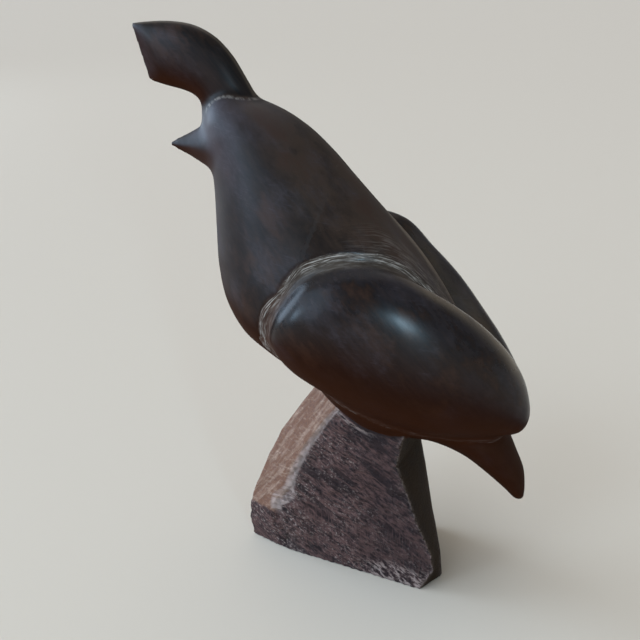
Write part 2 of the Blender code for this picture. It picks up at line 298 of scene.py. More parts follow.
class Plume:
    """The curved plume: lens-shaped sections between its crest and its underside, cut square at its end."""

    SAMPLES = 26
    BEVEL = math.radians(52.0)
    BEVEL_START = 0.0005
    EDGE = 0.0006
    BEVEL_EDGE = 0.0016
    NARROWEST = 0.004

    def __init__(self):
        stations = np.array(PLUME_STATIONS) * BIRD_LENGTH
        steps = np.linalg.norm(np.diff(stations[:, 0:2], axis=0), axis=1)
        travel = np.concatenate([[0.0], np.cumsum(steps)])
        wanted = np.linspace(0.0, travel[-1], self.SAMPLES)
        rows = np.stack([smooth_curve(travel, column, wanted) for column in stations.T], axis=1)
        self.crest = rows[:, 0:2] + (0.0, SEAT_HEIGHT)
        self.under = rows[:, 2:4] + (0.0, SEAT_HEIGHT)
        self.thickness = rows[:, 4]
        self.cut_normal = self.normal(self.under[0] - self.crest[0])
        self.root_normal = self.normal(self.crest[-1] - self.under[-1])

    @staticmethod
    def normal(line):
        """Direction square to a line across the plume."""
        return line[1] / np.hypot(*line), -line[0] / np.hypot(*line)

    def distance(self, x, y, z):
        """Signed distance, near enough, to the plume's skin."""
        inside_crest, place = line_distance(x, z, self.crest)
        above_under, _ = line_distance(x, z, self.under)
        width = np.maximum(inside_crest - above_under, self.NARROWEST)
        across = (inside_crest + above_under) / width
        thickness = np.interp(place, np.arange(self.SAMPLES), self.thickness)
        span, depth = np.abs(across) + TINY, np.abs(y) / thickness + TINY
        span_part, depth_part = span ** PLUME_POWER, depth ** PLUME_POWER
        total = span_part + depth_part
        round_reach = total ** (1.0 / PLUME_POWER)
        share = round_reach / total
        steepness = np.hypot(share * span_part / span * 2.0 / width, share * depth_part / depth / thickness)
        lens = (round_reach - 1.0) / (steepness + 1.0)
        ahead = (x - self.crest[0][0]) * self.cut_normal[0] + (z - self.crest[0][1]) * self.cut_normal[1]
        below = (x - self.crest[-1][0]) * self.root_normal[0] + (z - self.crest[-1][1]) * self.root_normal[1]
        bevel = ahead * math.cos(self.BEVEL) + (np.abs(y) - self.BEVEL_START) * math.sin(self.BEVEL)
        cut = trim(ahead, bevel, self.EDGE)
        soft = self.EDGE + (self.BEVEL_EDGE - self.EDGE) * np.clip(1.0 - across ** 2, 0.0, 1.0)
        return trim(trim(lens, cut, soft), below, self.EDGE)


class Carving:
    """The whole carving as one skin, with the measures that its finishes go by."""

    BEAK_BLEND = 0.003
    PLUME_BLEND = 0.0022
    WING_BLEND = 0.0024
    WINGS_BLEND = 0.001
    SEAT_BLEND = 0.0014
    EDGE = 0.0006
    RIM = 0.0004
    BEVEL = 0.00035
    NOTCH_HEIGHT = 0.0220
    NOTCH_REACH = 0.0032
    NOTCH_DEPTH = 0.0005
    GROOVE_START = 0.0008
    GROOVE_FULL = 0.0036
    GROOVE_ROUND = 1.2
    BLOCK_SLOPE = 0.92
    NUDGE = 5e-5
    LONGEST_MOVE = 0.001
    LEAST_SLOPE = 0.04

    def __init__(self, shape):
        self.groove_width = shape.groove_width
        self.groove_depth = shape.groove_depth
        seat = (0.0, SEAT_HEIGHT)
        body = [(place, front, back, half, 0.0, power) for place, front, back, half, power in BODY_STATIONS]
        beak = [(place, low, high, half, 0.0, power) for place, low, high, half, power in BEAK_STATIONS]
        tip = (BEAK_TIP[0] * BIRD_LENGTH, SEAT_HEIGHT + BEAK_TIP[1] * BIRD_LENGTH)
        self.body = SweptForm(seat, BIRD_LEAN, body)
        self.beak = SweptForm(tip, 0.0, beak)
        self.plume = Plume()
        self.wings = [self.make_wing(side) for side in (-1.0, 1.0)]

    def make_wing(self, side):
        """One wing, with a higher shoulder if it is the far one and a higher rear if it is the near one."""
        far = side > 0.0
        end = WING_STATIONS[-1][0]
        rows = []
        for place, low, high, half, offset in WING_STATIONS:
            if far:
                high += FAR_WING_SHOULDER * float(ease(SHOULDER_REACH, -SHOULDER_REACH, place))
            else:
                rear = ease(REAR_START, REAR_FULL, place) * ease(end, end - REAR_CLOSE, place)
                high += NEAR_WING_REAR * float(rear)
            rows.append((place, low, high, half, offset, 2.0))
        tip_place = rows[-1][0] * BIRD_LENGTH
        tip_level = 0.5 * (rows[-1][1] + rows[-1][2]) * BIRD_LENGTH
        slope = WING_SLOPE + (FAR_WING_LIFT if far else 0.0)
        tip_x = tip_place * math.cos(WING_SLOPE) + tip_level * math.sin(WING_SLOPE)
        tip_z = SEAT_HEIGHT - tip_place * math.sin(WING_SLOPE) + tip_level * math.cos(WING_SLOPE)
        origin = (
            tip_x - tip_place * math.cos(slope) - tip_level * math.sin(slope),
            tip_z + tip_place * math.sin(slope) - tip_level * math.cos(slope),
        )
        return SweptForm(origin, slope, rows, side)

    def block_faces(self, x, y, z):
        """Signed distance to each of the base's six upright faces, in order round it."""
        level = np.clip(z / BASE_HEIGHT, 0.0, BASE_LEVELS[-1])
        turn_x, turn_y = math.cos(BASE_TURN), math.sin(BASE_TURN)
        corners = []
        for edge in BASE_EDGES.values():
            along = np.interp(level, BASE_LEVELS, [row[0] for row in edge]) * BASE_LENGTH
            back = (np.interp(level, BASE_LEVELS, [row[1] for row in edge]) + BASE_NEAR_FACE) * BASE_DEPTH
            corners.append((along * turn_x - back * turn_y, along * turn_y + back * turn_x))
        faces = []
        for k, (start_x, start_y) in enumerate(corners):
            end_x, end_y = corners[(k + 1) % len(corners)]
            step_x, step_y = end_x - start_x, end_y - start_y
            length = np.sqrt(step_x ** 2 + step_y ** 2)
            faces.append(((x - start_x) * step_y - (y - start_y) * step_x) / length)
        return faces

    def measure(self, x, y, z):
        """The skin's signed distance at each point, and the distances that finishes go by."""
        near_wing, far_wing = (one.distance(x, y, z) for one in self.wings)
        wing = join(near_wing, far_wing, self.WINGS_BLEND)
        swell = 0.5 * (1.0 + GROOVE_SHARE_BELOW) * self.groove_width
        shift = self.groove_width - swell
        shift_x = -shift * math.sin(BIRD_LEAN - WING_SLOPE)
        shift_z = shift * math.cos(BIRD_LEAN - WING_SLOPE)
        moved = np.minimum(self.wings[0].distance(x - shift_x, y, z - shift_z),
                           self.wings[1].distance(x - shift_x, y, z - shift_z))
        room = np.maximum(swell - moved, 0.0)
        gap = np.maximum(wing, 0.0)
        width = gap + room + TINY
        across = np.clip(gap / width, 0.0, 1.0)
        fade = ease(self.GROOVE_START, self.GROOVE_FULL, width)
        groove = fade * self.groove_depth * (1.0 - across ** 2) ** self.GROOVE_ROUND

        body = self.body.distance(x, y, z)
        body = trim(body, x - TAIL_CUT, self.EDGE)
        head = join(body + groove, self.beak.distance(x, y, z), self.BEAK_BLEND)
        plume = self.plume.distance(x, y, z)
        bird = join(join(head, plume, self.PLUME_BLEND), wing, self.WING_BLEND)

        faces = self.block_faces(x, y, z)
        block = faces[0]
        for face in faces[1:]:
            block = trim(block, face, self.EDGE)
        notch = np.exp(-((z - self.NOTCH_HEIGHT) / self.NOTCH_REACH) ** 2)
        bevel = (faces[0] + faces[5]) * math.sqrt(0.5) + self.BEVEL + self.NOTCH_DEPTH * notch
        block = trim(block, bevel, self.RIM)
        block = trim(self.BLOCK_SLOPE * block, z - BASE_TOP, self.EDGE)
        skin = trim(join(bird, block, self.SEAT_BLEND), -z, self.RIM)
        return {"skin": skin, "wing": wing, "both_wings": np.maximum(near_wing, far_wing), "head": head,
                "plume": plume, "bird": bird, "block": block, "across": across, "fade": fade, "faces": faces,
                "bevel": bevel}

    def skin(self, points):
        """Signed distance at a list of points."""
        return self.measure(points[:, 0], points[:, 1], points[:, 2])["skin"]

    def settle(self, points, steps):
        """Move points along the skin's steepest way until they lie on it."""
        for _ in range(steps):
            here = self.skin(points)
            slope = np.empty_like(points)
            for axis in range(3):
                nudge = np.zeros(3)
                nudge[axis] = self.NUDGE
                slope[:, axis] = (self.skin(points + nudge) - self.skin(points - nudge)) / (2.0 * self.NUDGE)
            square = np.maximum((slope ** 2).sum(axis=1), self.LEAST_SLOPE)
            move = np.clip(-here / square, -self.LONGEST_MOVE, self.LONGEST_MOVE)
            points = points + slope * move[:, None]
        return points


def neighbours(grid, axis, across=slice(None)):
    """Each value of a grid but the last along an axis, and the value after it."""
    pair = []
    for part in (slice(0, -1), slice(1, None)):
        cut = [across] * 3
        cut[axis] = part
        pair.append(grid[tuple(cut)])
    return pair


def surface_net(values, step, corner):
    """Quads round a grid's zero crossings, with one point in each cell that the skin passes through."""
    inside = values < 0
    cells = tuple(size - 1 for size in values.shape)
    count = np.zeros(cells, np.float32)
    total = np.zeros((*cells, 3), np.float32)
    for axis in range(3):
        others = [k for k in range(3) if k != axis]
        first, second = neighbours(values, axis)
        crossed = np.not_equal(*neighbours(inside, axis))
        share = np.where(crossed, first / np.where(crossed, first - second, 1.0), 0.0)
        for corners in ((0, 0), (0, 1), (1, 0), (1, 1)):
            window = [slice(None)] * 3
            for other, shift in zip(others, corners):
                window[other] = slice(shift, shift + cells[other])
            hit = crossed[tuple(window)]
            count += hit
            total[..., axis] += np.where(hit, share[tuple(window)], 0.0)
            for other, shift in zip(others, corners):
                total[..., other] += hit * shift
    used = count > 0
    numbers = np.full(cells, -1, np.int64)
    numbers[used] = np.arange(used.sum())
    points = (np.argwhere(used) + total[used] / count[used][:, None]) * step + corner
    quads = []
    for axis in range(3):
        others = [k for k in range(3) if k != axis]
        before, after = neighbours(inside, axis, slice(1, -1))
        for entering in (False, True):
            spots = np.argwhere(~before & after if entering else before & ~after)
            spots[:, others] += 1
            ring = []
            for one, two in ((-1, -1), (0, -1), (0, 0), (-1, 0)):
                cell = spots.copy()
                cell[:, others[0]] += one
                cell[:, others[1]] += two
                ring.append(numbers[cell[:, 0], cell[:, 1], cell[:, 2]])
            quad = np.stack(ring, axis=1)
            quads.append(quad[:, ::-1] if entering ^ (axis == 1) else quad)
    return points, np.concatenate(quads)


def even_out(points, edges, carving, rounds):
    """Slide points along the skin towards the middle of their neighbours, so that the quads are even."""
    size = len(points)
    count = np.bincount(edges.ravel(), minlength=size).astype(float)
    for _ in range(rounds):
        middle = np.empty_like(points)
        for axis in range(3):
            ends = points[:, axis][edges]
            middle[:, axis] = (np.bincount(edges[:, 0], ends[:, 1], size)
                               + np.bincount(edges[:, 1], ends[:, 0], size)) / count
        points = carving.settle(points + 0.5 * (middle - points), 1)
    return points


def grid_values(carving, step, low, high):
    """The skin's distance on an even grid, worked out in slabs of its height."""
    sides = [np.arange(low[k], high[k] + step, step) for k in range(3)]
    values = np.empty([len(side) for side in sides], np.float32)
    slab = 24
    for start in range(0, len(sides[2]), slab):
        heights = sides[2][start:start + slab]
        values[:, :, start:start + slab] = carving.measure(
            sides[0][:, None, None], sides[1][None, :, None], heights[None, None, :])["skin"]
    return values


def read_rows(items, name, width, kind):
    """One property of all of a mesh's points or edges, a row for each."""
    values = np.empty(len(items) * width, kind)
    items.foreach_get(name, values)
    return values.reshape(-1, width)


def divide_rough_parts(mesh, carving):
    """Split the quads of the base's sides and the groove in four, where the finest tool marks lie."""
    points = read_rows(mesh.vertices, "co", 3, float)
    measures = carving.measure(*points.T)
    fine = (measures["block"] < measures["bird"] + 0.001) & (points[:, 2] > 0.0004)
    near_wing = (np.abs(measures["wing"]) < 0.0006) & (measures["head"] < 0.0010)
    fine |= near_wing & (measures["fade"] > 0.4)
    body = bmesh.new()
    body.from_mesh(mesh)
    chosen = [edge for edge in body.edges if fine[edge.verts[0].index] and fine[edge.verts[1].index]]
    bmesh.ops.subdivide_edges(body, edges=chosen, cuts=1, use_grid_fill=True)
    body.to_mesh(mesh)
    body.free()


def measure_skin(mesh, points, carving):
    """Keep numbers for each point, by name, that the tool marks and the finish go by."""
    x, y, z = points.T
    facing_x, facing_y, facing_z = read_rows(mesh.vertices, "normal", 3, np.float32).T
    found = carving.measure(x, y, z)
    raw = ease(-0.0002, 0.0006, found["bird"] - found["block"])

    # Which face of the base a point is on, and how near to an edge
    faces = np.stack(found["faces"])
    order = np.sort(faces, axis=0)
    weights = np.exp((faces - order[-1]) / 0.0004)
    weights /= weights.sum(axis=0)

    # Where it is round the wing; the wings' upper rims and the back's edge, partly worn and partly a painted
    # highlight; and the tail, which takes the undersides' painted shade
    wing_place, wing_across = carving.wings[0].local(x, z)
    middle_place, middle_across = (share * BIRD_LENGTH for share in WING_MIDDLE)
    off_wing = ease(0.0002, 0.001, found["wing"])
    tail = 0.85 * ease(0.036, 0.048, x) * off_wing
    backward = math.sin(BIRD_LEAN) * facing_x + math.cos(BIRD_LEAN) * facing_z
    inward = -np.sign(y) * facing_y
    spine = 0.8 * ease(0.0035, 0.0065, y) * ease(-0.016, -0.006, wing_place)
    worn = np.where(y < 0.0, ease(-0.65, -0.2, inward), 0.35 * ease(0.2, 0.7, inward))
    worn *= ease(-0.012, 0.012, wing_place) * ease(0.05, 0.04, wing_place)
    # rim: worn wood and painted highlight along the wings' upper rims and the back's edge
    rim = off_wing * spine + (1.0 - off_wing) * worn

    tip, ahead = carving.plume.crest[0], carving.plume.cut_normal
    measures = {
        "raw": raw,
        "near_face": weights[0],
        "far_face": weights[3],
        "front_face": weights[4] + weights[5],
        "block_edge": raw * np.exp((order[-2] - order[-1]) / 0.0007),
        "bevel": raw * ease(-0.00025, -0.00005, found["bevel"]),
        "seat_gap": found["bird"],
        "wing_gap": found["wing"],
        "both_wings": found["both_wings"],
        "groove_across": found["across"],
        "groove_fade": found["fade"] * (1.0 - raw),
        "wing_turn": np.arctan2(wing_across - middle_across, 0.8 * (middle_place - wing_place)),
        "plume_end": (x - tip[0]) * ahead[0] + (z - tip[1]) * ahead[1],
        "plume_side": found["head"] - found["plume"],
        "crest": line_distance(x, z, carving.plume.crest)[0],
        # underside: faces turned down, and the tail; the finish paints shade and a warm reflection there
        "underside": np.maximum(ease(0.35, -0.55, facing_z), tail),
        "back": ease(0.25, 0.75, facing_x) * ease(0.0, 0.3, facing_z),
        "upper": ease(-0.2, 0.7, backward),
        "wing_rim_wear_and_highlight": rim * ease(0.0, 0.4, facing_z),
    }
    for name, values in measures.items():
        layer = mesh.attributes.new(name, "FLOAT", "POINT")
        layer.data.foreach_set("value", np.asarray(values, np.float32))


def carve_mesh(shape):
    """The carving's smooth skin as a mesh, with the measures that its finishes read."""
    carving = Carving(shape)
    step = shape.mesh_step * 1.0
    points, quads = surface_net(grid_values(carving, step, GRID_LOW, GRID_HIGH), step, GRID_LOW)
    mesh = bpy.data.meshes.new("quail_skin")
    mesh.from_pydata(points.tolist(), [], quads.tolist())
    points = carving.settle(points, 2)
    points = even_out(points, read_rows(mesh.edges, "vertices", 2, np.int32), carving, 4)
    mesh.vertices.foreach_set("co", points.ravel())
    divide_rough_parts(mesh, carving)
    points = carving.settle(read_rows(mesh.vertices, "co", 3, float), 2)
    mesh.vertices.foreach_set("co", points.ravel())
    mesh.update()
    measure_skin(mesh, points, carving)
    mesh.polygons.foreach_set("use_smooth", np.ones(len(mesh.polygons), bool))
    return mesh


def reckoner(operation, swapped=False):
    """An operator on values that adds a Math node."""
    def reckon(value, other):
        pair = (other, value) if swapped else (value, other)
        return value.web.math(operation, *pair)
    return reckon


class Value:
    """A number, colour or direction on its way through a node tree, reckoned with as numbers are."""

    def __init__(self, web, socket):
        self.web = web
        self.socket = socket

    __add__, __radd__ = reckoner("ADD"), reckoner("ADD", True)
    __sub__, __rsub__ = reckoner("SUBTRACT"), reckoner("SUBTRACT", True)
    __mul__, __rmul__ = reckoner("MULTIPLY"), reckoner("MULTIPLY", True)
    __truediv__, __rtruediv__ = reckoner("DIVIDE"), reckoner("DIVIDE", True)


class Web:
    """A node tree that is written as expressions."""

    def __init__(self, tree):
        self.tree = tree

    def node(self, kind, settings, sockets, output=0):
        """Add a node: its settings first, then values or links for its sockets. Gives one output."""
        made = self.tree.nodes.new(kind)
        for name, value in settings.items():
            setattr(made, name, value)
        for name, value in sockets.items():
            if isinstance(value, Value):
                self.tree.links.new(value.socket, made.inputs[name])
            else:
                made.inputs[name].default_value = value
        return Value(self, made.outputs[output]) if made.outputs else None

    def math(self, operation, *values):
        """A Math node on values or plain numbers."""
        return self.node("ShaderNodeMath", {"operation": operation}, dict(enumerate(values)))

    def smooth(self, value, low, high):
        """0 below low, 1 above high, and a smooth rise between them."""
        settings = {"interpolation_type": "SMOOTHSTEP"}
        return self.node("ShaderNodeMapRange", settings, {0: value, 1: low, 2: high})

    def mix(self, factor, first, second):
        """A colour between two, by a factor."""
        return self.node("ShaderNodeMix", {"data_type": "RGBA"}, {0: factor, 6: first, 7: second}, 2)

    def layers(self, under, *coats):
        """A colour with others laid over it in turn, each by its share."""
        for share, colour in coats:
            under = self.mix(share, under, colour)
        return under

    def reach(self, place, direction):
        """How far a place lies along a direction."""
        settings = {"operation": "DOT_PRODUCT"}
        return self.node("ShaderNodeVectorMath", settings, {0: place, 1: direction}, "Value")

    def triple(self, first, second, third):
        """Three numbers as one place."""
        return self.node("ShaderNodeCombineXYZ", {}, {0: first, 1: second, 2: third})

    def noise(self, place, seed, detail, roughness):
        """Even noise between about 0.2 and 0.8."""
        sockets = {"Vector": place, "W": seed, "Scale": 1.0, "Detail": detail, "Roughness": roughness}
        return self.node("ShaderNodeTexNoise", {"noise_dimensions": "4D"}, sockets)

    def grain(self, place, axes, lengths, seed, detail, roughness):
        """Noise drawn out along three directions, by a length along each."""
        parts = (self.reach(place, tuple(part / length for part in axis))
                 for axis, length in zip(axes, lengths))
        return self.noise(self.triple(*parts), seed, detail, roughness)

    def read(self, name):
        """A measure that the mesh keeps for its points."""
        if self.tree.type == "GEOMETRY":
            settings = {"data_type": "FLOAT"}
            return self.node("GeometryNodeInputNamedAttribute", settings, {"Name": name}, "Attribute")
        return self.node("ShaderNodeAttribute", {"attribute_name": name}, {}, "Fac")


def side_axes(slope):
    """Directions down a slope towards the tail, across it, and out of the side view."""
    drop, run = math.sin(slope), math.cos(slope)
    return (run, 0.0, -drop), (drop, 0.0, run), (0.0, 1.0, 0.0)


def face_axes(slope):
    """The same on the base's near face: down it towards the tail, across, and out of it."""
    turn_x, turn_y = math.cos(BASE_TURN), math.sin(BASE_TURN)
    drop, run = math.sin(slope), math.cos(slope)
    return (run * turn_x, run * turn_y, -drop), (drop * turn_x, drop * turn_y, run), (-turn_y, turn_x, 0.0)


GRAIN = side_axes(math.radians(50.0))
SANDING = side_axes(math.radians(12.0))
NEAR_RUN = face_axes(0.0)[0]
NEAR_GRAIN = face_axes(math.radians(27.0))
RASPED = face_axes(math.radians(84.0))
FRONT_GRAIN = side_axes(math.radians(-55.0))
FRONT_CROSS = side_axes(math.radians(-15.0))
UPRIGHT = ((0.0, 0.0, 1.0), (1.0, 0.0, 0.0), (0.0, 1.0, 0.0))


def tool_mark_tree():
    """Nodes that press fibres, saw scallops and chips into the base, and a hand's waviness into the bird."""
    tree = bpy.data.node_groups.new("Tool marks", "GeometryNodeTree")
    sockets = tree.interface
    sockets.new_socket("Geometry", in_out="OUTPUT", socket_type="NodeSocketGeometry")
    sockets.new_socket("Geometry", in_out="INPUT", socket_type="NodeSocketGeometry")
    for name in ("Fibre Depth", "Scallop Depth", "Chip Depth", "Waviness", "Seed"):
        sockets.new_socket(name, in_out="INPUT", socket_type="NodeSocketFloat")
    sockets.new_socket("Finish", in_out="INPUT", socket_type="NodeSocketMaterial")
    web = Web(tree)
    smooth = web.smooth
    entry = web.node("NodeGroupInput", {}, {}).socket.node
    given = {socket.name: Value(web, socket) for socket in entry.outputs if socket.name}
    seed = given["Seed"]
    place = web.node("GeometryNodeInputPosition", {}, {})
    normal = web.node("GeometryNodeInputNormal", {}, {})
    raw, near, far, front, edge = map(web.read, ("raw", "near_face", "far_face", "front_face", "block_edge"))

    fibres = web.grain(place, NEAR_GRAIN, (0.004, 0.0012, 0.0016), seed, 3.0, 0.65)
    lumps = web.grain(place, NEAR_GRAIN, (0.011, 0.0042, 0.005), seed + 4.0, 2.0, 0.5)
    scallops = web.grain(place, FRONT_GRAIN, (0.01, 0.0022, 0.005), seed + 9.0, 1.0, 0.4)
    chips = web.grain(place, UPRIGHT, (0.0026, 0.0024, 0.0024), seed + 17.0, 3.0, 0.65)
    waves = web.grain(place, GRAIN, (0.016, 0.011, 0.011), seed + 23.0, 1.0, 0.4)
    height = web.node("ShaderNodeSeparateXYZ", {}, {0: place}, 2)
    sawn = front * smooth(height, 0.015, 0.0185)
    splintered = near + far + 0.3 * (front - sawn)
    torn = smooth(fibres, 0.3, 0.7) + 1.3 * smooth(lumps, 0.42, 0.62)
    depth = (given["Fibre Depth"] * splintered * torn
             + given["Scallop Depth"] * sawn * smooth(scallops, 0.3, 0.7)
             + given["Chip Depth"] * edge * smooth(near, 0.02, 0.3) * smooth(chips, 0.44, 0.6))
    depth = depth * raw * smooth(height, 0.0002, 0.003) + given["Waviness"] * (1.0 - raw) * waves
    offset = web.node("ShaderNodeVectorMath", {"operation": "SCALE"}, {0: normal, "Scale": 0.0 - depth})
    moved = web.node("GeometryNodeSetPosition", {}, {"Geometry": given["Geometry"], "Offset": offset})
    real = web.node("GeometryNodeRealizeInstances", {}, {0: moved})
    finished = web.node("GeometryNodeSetMaterial", {}, {"Geometry": real, "Material": given["Finish"]})
    web.node("NodeGroupOutput", {}, {0: finished})
    return tree


def raw_wood(web, colours, place, level):
    """The raw base's colour and relief: splintered near and far faces, a paler front, a scooped rear,
    painted shade under the belly and a painted highlight along the chamfer.
    """
    smooth, mix = web.smooth, web.mix
    near, far, front, edge, seat = map(
        web.read, ("near_face", "far_face", "front_face", "block_edge", "seat_gap"))
    run = web.reach(place, NEAR_RUN)
    fibres = web.grain(place, NEAR_GRAIN, (0.0032, 0.0009, 0.0014), 21.0, 4.0, 0.7)
    bands = web.grain(place, NEAR_GRAIN, (0.02, 0.0045, 0.006), 25.0, 3.0, 0.6)
    worn = web.grain(place, NEAR_GRAIN, (0.013, 0.006, 0.008), 27.0, 2.0, 0.5)
    dust = web.grain(place, NEAR_GRAIN, (0.0011, 0.0007, 0.001), 29.0, 3.0, 0.7)
    rasped = web.grain(place, RASPED, (0.006, 0.0005, 0.003), 31.0, 2.0, 0.6)
    sawn = web.grain(place, FRONT_GRAIN, (0.011, 0.0012, 0.003), 33.0, 3.0, 0.6)
    crossed = web.grain(place, FRONT_CROSS, (0.005, 0.001, 0.003), 35.0, 2.0, 0.6)
    ticks = web.grain(place, UPRIGHT, (0.0009, 0.02, 0.02), 37.0, 0.0, 0.5)

    dusty = smooth(dust, 0.52, 0.68) * smooth(worn, 0.34, 0.62) * (1.0 - 0.5 * smooth(run, 0.002, 0.014))
    # ledge: pale fibre ends below the belly, with a painted highlight
    ledge = smooth(seat, 0.0012, 0.0016) * smooth(seat, 0.0026, 0.0019) * smooth(fibres, 0.4, 0.56)
    crumbs = smooth(level, 0.008, 0.004) * smooth(fibres, 0.46, 0.6) * smooth(run, 0.008, 0.018)
    split = web.layers(
        mix(smooth(fibres, 0.36, 0.62), colours.split_dark, colours.split_face),
        (0.8 * smooth(bands, 0.5, 0.58), colours.split_dark),
        (0.55 * smooth(rasped, 0.52, 0.64) * smooth(level, 0.026, 0.018), colours.split_face),
        (0.65 * dusty, colours.dust),
        (0.35 * smooth(run, 0.006, 0.02) * near, colours.split_dark),
        # painted shade on the base just under the belly
        (0.8 * smooth(seat, 0.0015, 0.0006), colours.split_dark),
        # pale fibres and painted highlight along the ledge under the belly
        (0.6 * ledge * smooth(run, 0.018, 0.006), colours.dust),
        (0.6 * crumbs, colours.dust))
    streaked = 0.75 * smooth(sawn, 0.42, 0.72) + 0.35 * smooth(crossed, 0.5, 0.68)
    front_wood = web.layers(
        mix(streaked, colours.front_face, colours.front_streaks),
        (0.45 * smooth(dust, 0.54, 0.36), colours.split_face))
    comb = 0.6 + smooth(level, 0.034, 0.024) * (smooth(ticks, 0.42, 0.52) - 0.6)
    base = web.layers(
        mix(0.5 * smooth(bands, 0.35, 0.7), colours.rear_face, colours.brown_grain),
        (smooth(near + far + front, 0.3, 0.7), split),
        (smooth(front, 0.3, 0.7) * smooth(level + 0.006 * bands, 0.017, 0.019), front_wood),
        # painted highlight along the chamfer between the near and front faces, broken by rasp ticks
        (web.read("bevel") * smooth(level, 0.015, 0.0165) * (0.3 + 0.5 * comb), colours.dust),
        (0.35 * edge * smooth(front, 0.5, 0.1) * smooth(dust, 0.35, 0.6), colours.dust))
    return base, 0.0004 * fibres + 0.00036 * dust


